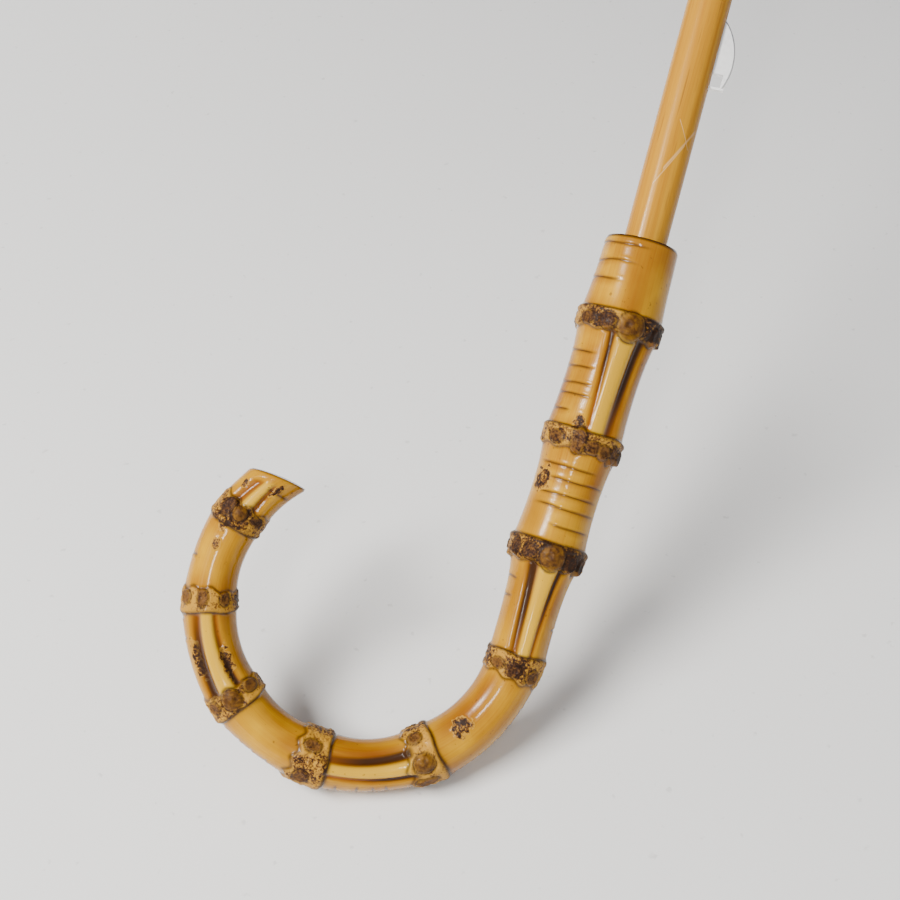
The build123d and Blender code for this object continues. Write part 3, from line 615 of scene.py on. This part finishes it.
    def add_patch(self, at, degrees_round, half_length, half_degrees, node_r):
        """A ragged patch of burnt, crumbling bark."""
        along, around = self.away(at, degrees_round, node_r)
        spread = np.hypot(along / half_length, around / (radians(half_degrees) * node_r))
        ragged = spread + 0.35 * self.rough(self.s / (0.9 * MM), self.turn)
        self.cover("burn", 0.78 * (1 - smooth(0.55, 1.05, ragged)))
        crumb = 1 + self.fine(self.s / (0.45 * MM), self.turn)
        self.height += 0.15 * MM * (1 - smooth(0.5, 1.1, ragged)) * crumb

    def add_ring(self, at, degrees_round, half_degrees, seed):
        """A growth ring: a thin cut that fades out at both ends and wanders a little."""
        apart = np.abs((self.angle - radians(degrees_round) + pi) % tau - pi)
        reach = 1 - smooth(radians(half_degrees) * 0.55, radians(half_degrees), apart)
        wander = 0.35 * MM * self.wander(seed * 3.1, self.turn)
        x = self.s - at - wander
        self.height -= 0.16 * MM * reach * bell(x, 0.34 * MM)
        self.height += 0.10 * MM * reach * bell(x + 0.75 * MM, 0.5 * MM)
        self.cover("ring", reach * bell(x, 0.36 * MM))
        self.cover("amber", 0.50 * reach * bell(x - 0.7 * MM, 1.5 * MM))


def grow_skin(along, around):
    """Every feature of the cane, in the order that later ones lie over earlier ones."""
    skin = Skin(along, around)
    skin.height += 0.16 * MM * skin.wander(skin.s / (22 * MM), skin.turn)
    # Painted shade: the inner side of the crook's bend is coloured amber, darker than the skin
    inner_bend_shade = np.clip(-np.sin(skin.angle), 0, 1) * smooth(GRIP_LENGTH * 0.9, GRIP_LENGTH * 1.15, skin.s)
    skin.cover("amber", 0.55 * inner_bend_shade)
    skin.cover("amber", np.clip(0.16 + 0.62 * skin.wander(skin.s / (24 * MM), skin.turn), 0, 0.75))
    for at_mm, middle, half_length, half_degrees, amount in STAINS:
        lengthwise, crosswise = skin.away(at_mm * MM, middle, 1.0)
        spot = bell(lengthwise, half_length * MM) * bell(crosswise, radians(half_degrees))
        skin.cover("amber", amount * spot)
    for n, (at_mm, middle, half) in enumerate(RINGS):
        skin.add_ring(at_mm * MM, middle, half, n)
    ends = [node.at for node in CULM_NODES[1:]] + [HANDLE_LENGTH]
    for node, stop in zip(CULM_NODES, ends):
        skin.add_sulcus(node.at + 3 * MM, stop - 2 * MM, node.bud[0], node.bud[2] * MM, node.waist,
                        node.dark_side)
    for at_mm, middle, half_length, half_degrees in BARK_PATCHES:
        skin.add_patch(at_mm * MM, middle, half_length * MM, half_degrees, PATCH_CANE_R)
    for n, node in enumerate(CULM_NODES):
        skin.add_band(node, n)
        back = BACK_SCARS if abs(node.bud[0]) < 90 else BACK_SCARS[::2]
        scars = node.scars + [(around, 0.3 * sin(around), 1.9 + 0.3 * cos(around)) for around in back]
        for around, shift, r in scars:
            skin.add_scar(node.at + (shift + 0.5) * MM, around, r * MM, node.band)
        skin.add_bud(node.at + node.bud[1] * MM, node.bud[0], node.bud[2] * MM, node.band)
    return skin


def bias_cut(skin):
    """The distances with the tip sawn at a slant, so that the crook's inner side is longer."""
    near_tip = smooth(HANDLE_LENGTH - 16 * MM, HANDLE_LENGTH, skin.s) ** 1.5
    return skin.s - near_tip * TIP_BIAS * np.sin(skin.angle)


def make_handle():
    """The crook as one closed skin, with sawn ends: flat across the collar, rounded at the tip."""
    skin = grow_skin(SKIN_ALONG, SKIN_AROUND)
    ends = smooth(0, SAWN_EDGE, skin.s) * smooth(0, SAWN_EDGE, HANDLE_LENGTH - skin.s)
    radius = skin.radius + skin.height * ends - (1 - ends) * 0.35 * MM
    skin.cover("cut", 0.90 * (1 - smooth(0.4 * MM, 1.2 * MM, skin.s)))
    skin.cover("cut", 0.75 * (1 - smooth(0.1 * MM, 0.8 * MM, HANDLE_LENGTH - skin.s)))

    across, up, slope_across, slope_up = handle_line(bias_cut(skin))
    hook = np.array([cos(HOOK_ANGLE), sin(HOOK_ANGLE), 0.0])
    front = np.array([-hook[1], hook[0], 0.0])
    shaft_way = np.array([0.0, 0.0, 1.0])
    centre = across[..., None] * hook + up[..., None] * shaft_way
    outside = slope_up[..., None] * hook - slope_across[..., None] * shaft_way
    direction = np.cos(skin.angle)[..., None] * front + np.sin(skin.angle)[..., None] * outside
    points = centre + radius[..., None] * direction

    # The sawn faces: rings that shrink towards the middle of each end
    def end_rings(index, shares, push):
        way = slope_across[index, 0] * hook + slope_up[index, 0] * shaft_way
        middle = points[index].mean(axis=0)
        return [middle + share * (points[index] - middle) + way * push * (1 - share)
                for share in shares]

    collar_rings = end_rings(0, (0.66, 0.80, 0.93), 0.0)
    tip_rings = end_rings(-1, (0.93, 0.70, 0.42, 0.12), 0.4 * MM)
    grid = np.concatenate([np.array(collar_rings), points, np.array(tip_rings)])
    before, after = len(collar_rings), len(tip_rings)
    looks = {}
    for look, values in skin.looks.items():
        first = np.repeat(values[:1], before, axis=0)
        last = np.repeat(values[-1:], after, axis=0)
        if look == "cut":
            first[:] = 0.75
            last[:] = 0.35
        looks[look] = np.concatenate([first, values, last])
    length = np.concatenate([skin.s[:1].repeat(before, 0), skin.s, skin.s[-1:].repeat(after, 0)])
    turn = np.concatenate([skin.turn[:1].repeat(before, 0), skin.turn, skin.turn[-1:].repeat(after, 0)])
    uv = np.stack([length, np.abs(turn - 0.5) * 2 * UV_AROUND], axis=-1).reshape(-1, 2)
    faces = tube_faces(len(grid), SKIN_AROUND)
    piece = add_mesh("whangee_crook", at(grid.reshape(-1, 3)), faces, looks, uv)
    piece.data.materials.append(BAMBOO)
    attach(piece, "root")
    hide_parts("handle")


# The canopy

def rib_line(distance, offset):
    """The open rib's bow, as (outwards, up the shaft), pushed out by an offset."""
    chord_angle = RIB_OPEN - distance / (2 * RIB_BEND_R)
    chord = 2 * RIB_BEND_R * np.sin(distance / (2 * RIB_BEND_R))
    tangent = RIB_OPEN - distance / RIB_BEND_R
    out = PIVOT_R + chord * np.sin(chord_angle) + offset * np.cos(tangent)
    up = NOTCH_Z - chord * np.cos(chord_angle) + offset * np.sin(tangent)
    return out, up


def rib_angle(number):
    return RIB_STEP * (number - 0.5)


def over_rib(number, distance, across, offset):
    """A point along a rib, to one side of it and out from it by an offset."""
    angle = rib_angle(number)
    out, up = rib_line(np.array(distance), offset)
    return np.array([out * cos(angle) - across * sin(angle), out * sin(angle) + across * cos(angle), up])


CREASE = radians(40)
CLOTH_OFFSET = 2.85 * MM
PANEL_SAG = 9 * MM
HEM_SCALLOP = 20 * MM
HEM_WIDTH = 8 * MM
CLOTH_T = 0.25 * MM
HEM_EXTRA_T = 0.35 * MM
CLOTH_ROWS = 120
CLOTH_COLUMNS = 22


def cloth_point(number, side, distance, share, offset=0.0):
    """A point of the panel beside a rib. share runs from 0 at this rib to 1 at the next one, on
    the given side. The cloth is pulled straight between the ribs, and hollows a little."""
    start = rib_angle(number)
    stop = start + side * RIB_STEP
    out, up = rib_line(distance, CLOTH_OFFSET + offset)
    here = np.stack([out * cos(start), out * sin(start), up], axis=-1)
    there = np.stack([out * cos(stop), out * sin(stop), up], axis=-1)
    flat = here + share[..., None] * (there - here)
    middle = start + side * RIB_STEP / 2
    tilt = RIB_OPEN - distance / RIB_BEND_R
    inward = -np.stack([np.cos(tilt) * cos(middle), np.cos(tilt) * sin(middle), np.sin(tilt)], axis=-1)
    hollow = PANEL_SAG * 4 * share * (1 - share) * np.sin(pi * np.clip(distance / CLOTH_TO, 0, 1)) ** 0.8
    return flat + hollow[..., None] * inward


def half_gore(number, side):
    """The cloth from one rib to mid-panel, as a thin shell with a doubled hem."""
    rows, columns = CLOTH_ROWS, CLOTH_COLUMNS
    row = np.linspace(0, 1, rows)
    share = np.linspace(0, 0.5, columns)
    scallop = HEM_SCALLOP * 4 * share * (1 - share)
    reach = CLOTH_TO - scallop
    distance = CLOTH_FROM + row[:, None] * (reach[None, :] - CLOTH_FROM)
    shares = np.repeat(share[None, :], rows, axis=0)
    from_hem = reach[None, :] - distance
    hem = smooth(HEM_WIDTH + 0.8 * MM, HEM_WIDTH - 0.4 * MM, from_hem)
    thickness = CLOTH_T + HEM_EXTRA_T * hem
    outer = cloth_point(number, side, distance, shares, thickness / 2)
    inner = cloth_point(number, side, distance, shares, -thickness / 2)
    points = np.concatenate([outer.reshape(-1, 3), inner.reshape(-1, 3)])
    count = rows * columns
    faces = []
    for i in range(rows - 1):
        for j in range(columns - 1):
            quad = (i * columns + j, i * columns + j + 1, (i + 1) * columns + j + 1, (i + 1) * columns + j)
            faces.append(quad if side > 0 else quad[::-1])
            back = tuple(count + n for n in quad[::-1])
            faces.append(back if side > 0 else back[::-1])
    rim = rim_of(rows, columns)
    for a, b in zip(rim, rim[1:] + rim[:1]):
        quad = (a, b, count + b, count + a)
        faces.append(quad if side > 0 else quad[::-1])
    out, _ = rib_line(distance, 0.0)
    across = side * (shares - 0.5) * 2 * out * sin(RIB_STEP / 2)
    uv = np.stack([across, distance], axis=-1).reshape(-1, 2)
    name = f"canopy_cloth_{number}_{'left' if side > 0 else 'right'}"
    piece = add_mesh(name, at(points), faces, uv=np.concatenate([uv, uv]), crease=CREASE)
    piece.data.materials.append(CLOTH)
    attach(piece, f"rib_{number}")
    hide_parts(f"canopy_gore_{number}")
    squash_to_rib(piece)


def squash_to_rib(piece):
    """Gives half a panel a mesh of its own; nothing here folds it against its rib as the umbrella closes.
    Closed panels still cross each other and the stretchers."""
    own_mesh(piece)


TAPE_ROWS = 150
TAPE_HALF = 3.2 * MM
TAPE_FALL = 0.24
STITCH_PITCH = 3.2 * MM
STITCH_LENGTH = 2.3 * MM
STITCH_HALF = 0.22 * MM
STITCH_RISE = 0.26 * MM


def sew(points, faces, uv, surface, start, stop, across, lift):
    """Adds a row of stitches along a surface, each a small six-sided ridge that dips at its ends."""
    for d in np.arange(start, stop - STITCH_LENGTH, STITCH_PITCH):
        first = len(points)
        for along, rise in ((0.0, -0.4), (0.2, 0.8), (0.5, 1.0), (0.8, 0.8), (1.0, -0.4)):
            for side in (-1, 0, 1):
                peak = rise * STITCH_RISE if side == 0 else -0.3 * STITCH_RISE
                points.append(surface(d + along * STITCH_LENGTH, across + side * STITCH_HALF, lift + peak))
                uv.append((across + side * STITCH_HALF, d + along * STITCH_LENGTH))
        for i in range(first, first + 12, 3):
            faces += [(i + 1, i, i + 3, i + 4), (i + 2, i + 1, i + 4, i + 5), (i, i + 2, i + 5, i + 3)]
        faces += [(first, first + 1, first + 2), (first + 14, first + 13, first + 12)]


def thread_on(piece, cloth, cloth_faces):
    """Gives a piece its cloth, and its thread on every face after the cloth's own."""
    piece.data.materials.append(cloth)
    piece.data.materials.append(THREAD)
    kinds = [0] * cloth_faces + [1] * (len(piece.data.polygons) - cloth_faces)
    piece.data.polygons.foreach_set("material_index", kinds)


def seam(number):
    """The felled seam over a rib: a folded tape with a row of stitches along each side."""
    rows = TAPE_ROWS
    half = TAPE_HALF
    distance = np.linspace(CLOTH_FROM + 2 * MM, CLOTH_TO - 1.5 * MM, rows)
    profile = [(-half, -0.2), (-half, 0.30), (-half * 0.55, 0.62), (0.0, 0.70), (half * 0.55, 0.62),
               (half, 0.30), (half, -0.2)]
    points = []
    uv = []

    def on_tape(d, across, lift):
        return over_rib(number, d, across, CLOTH_OFFSET + lift - TAPE_FALL * abs(across))

    for d in distance:
        for across, rise in profile:
            points.append(on_tape(d, across, rise * MM))
            uv.append((across, d))
    count = len(profile)
    faces = []
    for i in range(rows - 1):
        for j in range(count):
            k = (j + 1) % count
            faces.append((i * count + k, i * count + j, (i + 1) * count + j, (i + 1) * count + k))
    faces.append(tuple(range(count)))
    faces.append(tuple(reversed(range((rows - 1) * count, rows * count))))
    tape_faces = len(faces)
    for row_at in (-0.62 * half, 0.62 * half):
        sew(points, faces, uv, on_tape, distance[0] + STITCH_PITCH, distance[-1], row_at, 0.55 * MM)
    piece = add_mesh(f"rib_seam_{number}", at(points), faces, uv=uv, crease=CREASE)
    thread_on(piece, TAPE, tape_faces)
    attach(piece, f"rib_{number}")


STRAP_FROM = 335 * MM
STRAP_TO = 485 * MM
STRAP_HALF = 9 * MM
STRAP_OFFSET = 3.6 * MM
STRAP_T = 1.1 * MM
STRAP_DRAPE = 1.5 * MM
STRAP_TURN_IN = 1.9 * MM
STRAP_ROWS = 150
STRAP_COLUMNS = 17


def tie_strap():
    """The strap that wraps the closed canopy: two layers of cloth, turned in and sewn round the
    edge, with a rounded free end. It drapes a little over the seam that it lies on."""
    rows, columns = STRAP_ROWS, STRAP_COLUMNS

    def on_strap(d, across, lift):
        drape = STRAP_DRAPE * (across / STRAP_HALF) ** 2
        return over_rib(1, d, across, STRAP_OFFSET + lift - drape)

    distance = np.linspace(STRAP_FROM, STRAP_TO, rows)
    points = []
    uv = []
    for top in (1, 0):
        for d in distance:
            past = max(0.0, d - (STRAP_TO - STRAP_HALF)) / STRAP_HALF
            half = STRAP_HALF * max(0.10, 1 - past ** 2.6) ** 0.5
            for share in np.linspace(-1, 1, columns):
                edge = min(half * (1 - abs(share)), STRAP_TO - d, d - STRAP_FROM)
                full = 0.42 + 0.58 * smooth(0.0, 1.0 * MM, edge)
                full -= 0.30 * bell(edge - STRAP_TURN_IN, 0.5 * MM)
                middle = STRAP_T / 2
                lift = middle + (1 if top else -1) * middle * full
                points.append(on_strap(d, share * half, lift))
                uv.append((share * half, d))
    count = rows * columns
    faces = []
    for i in range(rows - 1):
        for j in range(columns - 1):
            a = i * columns + j
            faces.append((a + 1, a, a + columns, a + columns + 1))
            faces.append((count + a, count + a + 1, count + a + columns + 1, count + a + columns))
    rim = rim_of(rows, columns)
    for a, b in zip(rim, rim[1:] + rim[:1]):
        faces.append((b, a, count + a, count + b))
    strap_faces = len(faces)
    top_lift = STRAP_T * 0.86
    start, stop = STRAP_FROM + STRAP_TURN_IN, STRAP_TO - 0.9 * STRAP_HALF
    for across in (-(STRAP_HALF - STRAP_TURN_IN), STRAP_HALF - STRAP_TURN_IN):
        sew(points, faces, uv, on_strap, start, stop, across, top_lift)
    piece = add_mesh("tie_strap_sewn", at(points), faces, uv=uv, crease=CREASE)
    thread_on(piece, CLOTH, strap_faces)
    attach(piece, "rib_1")
    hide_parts("tie_strap")


WASHER_Z = 604.2 * MM
WASHER_R = 17 * MM
WASHER_T = 1 * MM
PINKED_TEETH = 30


def crown_rosette():
    """The felt rosette under the cap: a pierced disc with a pinked edge."""
    around = PINKED_TEETH * 8
    turn = np.arange(around) / around
    tooth = np.abs((turn * PINKED_TEETH) % 1 - 0.5) * 2
    outer = WASHER_R * (1 - 0.055 * tooth)
    bore = SHAFT_R + 0.05 * MM
    profile = [(0.0, 0.0), (0.35, 0.0), (0.7, 0.0), (0.97, 0.04), (1.0, 0.25), (1.0, 0.75), (0.97, 0.96),
               (0.7, 1.0), (0.35, 1.0), (0.0, 1.0)]
    mat = Lattice(31, 12, 60)
    points = []
    for n, (share, height) in enumerate(profile):
        r = bore + share * (outer - bore)
        z = WASHER_Z + WASHER_T * (height + 0.06 * mat(n + 0.5, turn) * (share > 0))
        points += list(zip(r * np.cos(turn * tau), r * np.sin(turn * tau), z))
    faces = []
    for i in range(len(profile)):
        for j in range(around):
            k = (j + 1) % around
            below, above = i * around, (i + 1) % len(profile) * around
            faces.append((below + j, below + k, above + k, above + j))
    piece = add_mesh("crown_rosette", at(points), faces, crease=CREASE)
    piece.data.materials.append(FELT)
    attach(piece, "root")
    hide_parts("crown_washer")


for number in range(1, RIB_COUNT + 1):
    for side in (-1, 1):
        half_gore(number, side)
    seam(number)

tie_strap()
crown_rosette()
make_handle()


# CAD nodes that keep their shape

def finish_node(name, material):
    node = NODES[name]
    node.data.materials.clear()
    node.data.materials.append(material)


LOOKS = {
    SHAFT_WOOD: ["shaft"],
    SPRING: ["hand_spring", "top_spring"],
    NICKEL: ["hand_spring_pin", "top_spring_pin", "stop_pin", "notch_pin", "notch_wire", "runner_wire",
             "runner_tube", "runner_crown", "top_notch", "strap_snap"],
    TURNED: ["open_cap", "ferrule", "ferrule_tip"],
}
for material, names in LOOKS.items():
    for name in names:
        finish_node(name, material)
for number in range(1, RIB_COUNT + 1):
    finish_node(f"rib_{number}", STEEL)
    finish_node(f"stretcher_{number}", STEEL)
    finish_node(f"rib_rivet_{number}", NICKEL)
    finish_node(f"rib_tip_{number}", NICKEL)


# Stage, light and camera

FLOOR_HALF = 6.0
ROOM_LIGHT = 0.46
WINDOW_FROM_CROOK = Vector((-0.75, 0.80, 1.45))
STRIP_FROM_CROOK = Vector((-1.15, -0.15, 1.25))
PANE_TINT = (1.0, 0.99, 0.97)


def make_floor():
    m = Nodes("pale_floor")
    place = m.new("ShaderNodeTexCoord").outputs["Object"]
    cloud = m.noise(place, 2.2, 3.0, 0.5)
    speck = m.noise(place, 260.0, 2.0, 0.5)
    grey = m.ramp(cloud, (0.3, (0.80, 0.792, 0.772, 1)), (0.7, (0.84, 0.832, 0.812, 1)))
    grey = m.mix(m.ramp(speck, (0.24, 0.35), (0.31, 0.0)), grey, (0.42, 0.41, 0.39, 1))
    m.set(Base_Color=grey, Roughness=0.62, Normal=m.bump(cloud, 0.05, 0.002))
    half = FLOOR_HALF
    corners = [(-half, -half, 0), (half, -half, 0), (half, half, 0), (-half, half, 0)]
    floor = add_mesh("floor", corners, [(0, 1, 2, 3)], smooth_faces=False)
    floor.data.materials.append(m.material)


def area_light(name, place, target, size, power, colour, lights="all"):
    """A soft rectangular light. It can be left out of highlights ("surfaces") or light nothing
    but them ("highlights")."""
    data = bpy.data.lights.new(name, "AREA")
    data.shape = "RECTANGLE"
    data.size, data.size_y = size
    data.energy = power
    data.color = colour
    lamp = bpy.data.objects.new(name, data)
    lamp.location = place
    lamp.rotation_euler = (Vector(target) - Vector(place)).to_track_quat("-Z", "Y").to_euler()
    lamp.visible_glossy = lights != "surfaces"
    lamp.visible_diffuse = lights != "highlights"
    bpy.context.scene.collection.objects.link(lamp)


def make_light(crook):
    """A large soft window to the left, the bright pane in it that the lacquer mirrors, a narrow
    strip nearer the camera, and a pale room all round."""
    world = bpy.data.worlds.new("room")
    world.use_nodes = True
    background = world.node_tree.nodes["Background"]
    background.inputs["Color"].default_value = (0.95, 0.97, 1.0, 1)
    background.inputs["Strength"].default_value = ROOM_LIGHT
    bpy.context.scene.world = world
    window = crook + WINDOW_FROM_CROOK
    area_light("window", window, crook, (0.95, 0.70), 72, (1.0, 0.985, 0.96), "surfaces")
    area_light("pane", window, crook, (0.42, 0.19), 46, PANE_TINT, "highlights")
    area_light("strip", crook + STRIP_FROM_CROOK, crook, (0.16, 0.30), 7, PANE_TINT)


def make_camera():
    """The photograph's view, looking down on the handle from its open side."""
    data = bpy.data.cameras.new("camera")
    data.sensor_width = 36.0
    data.lens = CAMERA_LENS
    camera = bpy.data.objects.new("camera", data)
    forward = Vector((cos(CAMERA_HEADING) * cos(CAMERA_PITCH), sin(CAMERA_HEADING) * cos(CAMERA_PITCH),
                      -sin(CAMERA_PITCH)))
    right = Vector((sin(CAMERA_HEADING), -cos(CAMERA_HEADING), 0))
    up = right.cross(forward)
    turn = Matrix((right, up, -forward)).transposed()
    camera.matrix_world = Matrix.Translation(CAMERA_AT) @ turn.to_4x4()
    bpy.context.scene.collection.objects.link(camera)
    bpy.context.scene.camera = camera


CROOK_ACROSS = GRIP_OFFSET_AT_CROOK + CROOK_R
CROOK_CENTRE = Vector(at([[CROOK_ACROSS * cos(HOOK_ANGLE), CROOK_ACROSS * sin(HOOK_ANGLE),
                           -GRIP_LENGTH]])[0])
CAMERA_LENS = 55.0
CAMERA_HEADING = radians(20.2)
CAMERA_PITCH = radians(45.43)
CAMERA_AT = Vector((CROOK_CENTRE.x - 0.2278, CROOK_CENTRE.y - 0.1094, 0.3618))

make_floor()
make_light(CROOK_CENTRE)
make_camera()

bpy.context.view_layer.update()
